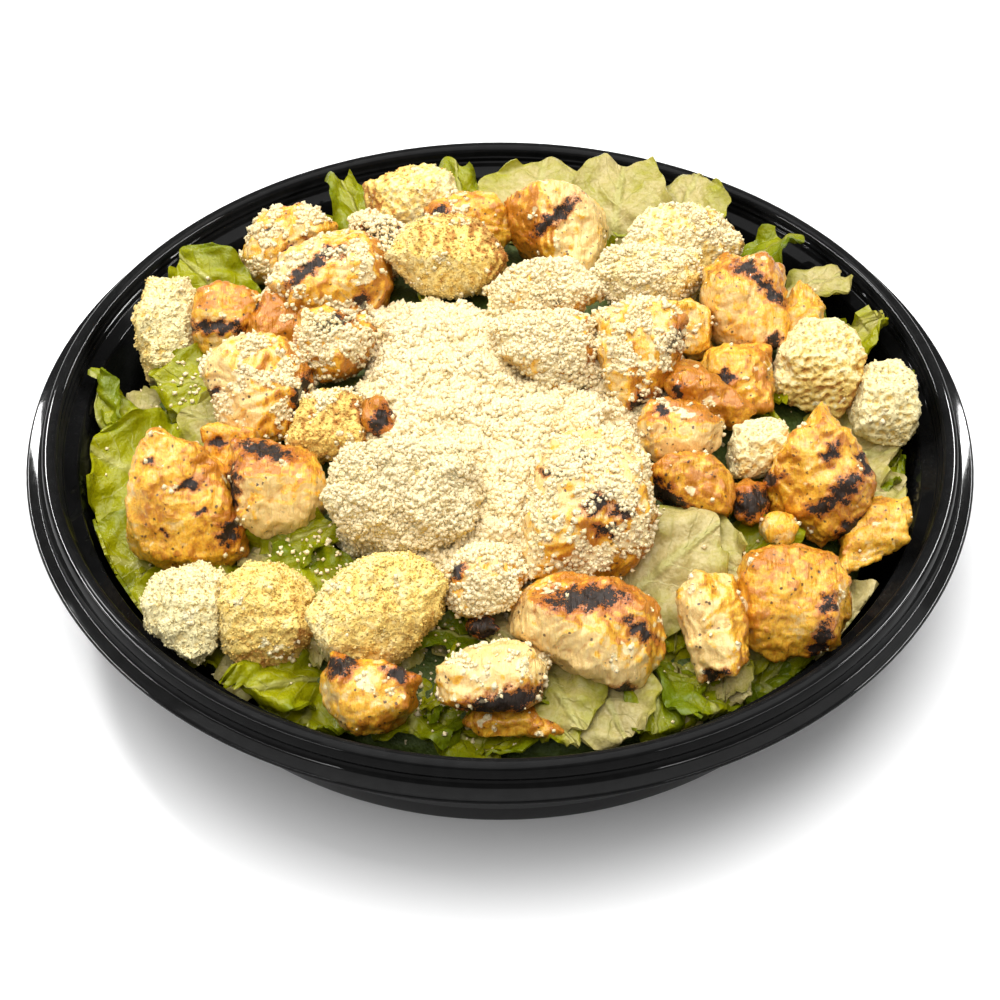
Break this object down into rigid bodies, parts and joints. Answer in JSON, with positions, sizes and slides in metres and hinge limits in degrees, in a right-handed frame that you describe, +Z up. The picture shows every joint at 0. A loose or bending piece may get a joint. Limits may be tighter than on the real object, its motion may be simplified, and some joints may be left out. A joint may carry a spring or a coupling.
{
  "type": "chicken caesar salad in a bowl",
  "caption": "Chicken caesar salad in a round black plastic takeaway bowl: grilled chicken pieces, croutons and a heap of grated cheese on cut lettuce.",
  "frame": {"origin": "centre of the bowl's foot, on the surface it stands on", "axes": "+Z up through the bowl's middle, -Y towards the front that the picture shows"},
  "size_m": [0.23, 0.23, 0.0675],
  "materials": {
    "black_plastic": "glossy",
    "grilled_chicken": "moist grilled meat",
    "crouton": "dry toasted crumb",
    "grated_cheese": "matte grated cheese",
    "lettuce": "moist leaf"
  },
  "bodies": {
    "root": {"bowl": "black_plastic", "cheese_heap": "grated_cheese", "chicken_back_charred": "grilled_chicken", "chicken_back_left": "grilled_chicken", "chicken_back_left_front": "grilled_chicken", "chicken_back_marked": "grilled_chicken", "chicken_back_middle": "grilled_chicken", "chicken_back_seasoned": "grilled_chicken", "chicken_charred_bit": "grilled_chicken", "chicken_front_char": "grilled_chicken", "chicken_front_crumbled": "grilled_chicken", "chicken_front_left": "grilled_chicken", "chicken_front_middle_cut": "grilled_chicken", "chicken_front_middle_dusted": "grilled_chicken", "chicken_front_middle_large": "grilled_chicken", "chicken_front_right": "grilled_chicken", "chicken_front_right_large": "grilled_chicken", "chicken_front_right_lean": "grilled_chicken", "chicken_front_seared": "grilled_chicken", "chicken_left_crusted": "grilled_chicken", "chicken_left_inner": "grilled_chicken", "chicken_left_large": "grilled_chicken", "chicken_left_shred": "grilled_chicken", "chicken_left_small": "grilled_chicken", "chicken_left_upper": "grilled_chicken", "chicken_middle": "grilled_chicken", "chicken_middle_back": "grilled_chicken", "chicken_middle_right": "grilled_chicken", "chicken_right_char": "grilled_chicken", "chicken_right_crumb": "grilled_chicken", "chicken_right_cut": "grilled_chicken", "chicken_right_edge": "grilled_chicken", "chicken_right_inner": "grilled_chicken", "chicken_right_smooth": "grilled_chicken", "chicken_right_spotted": "grilled_chicken", "chicken_right_strip": "grilled_chicken", "chicken_right_tall": "grilled_chicken", "chicken_right_wedge": "grilled_chicken", "crouton_back_left": "crouton", "crouton_back_middle": "crouton", "crouton_back_right": "crouton", "crouton_back_right_dusted": "crouton", "crouton_front_large": "crouton", "crouton_front_left": "crouton", "crouton_front_left_round": "crouton", "crouton_left_browned": "crouton", "crouton_left_curved": "crouton", "crouton_middle_left": "crouton", "crouton_right_pale": "crouton", "crouton_right_porous": "crouton", "crouton_right_slab": "crouton", "lettuce": "lettuce"}
  },
  "joints": []
}
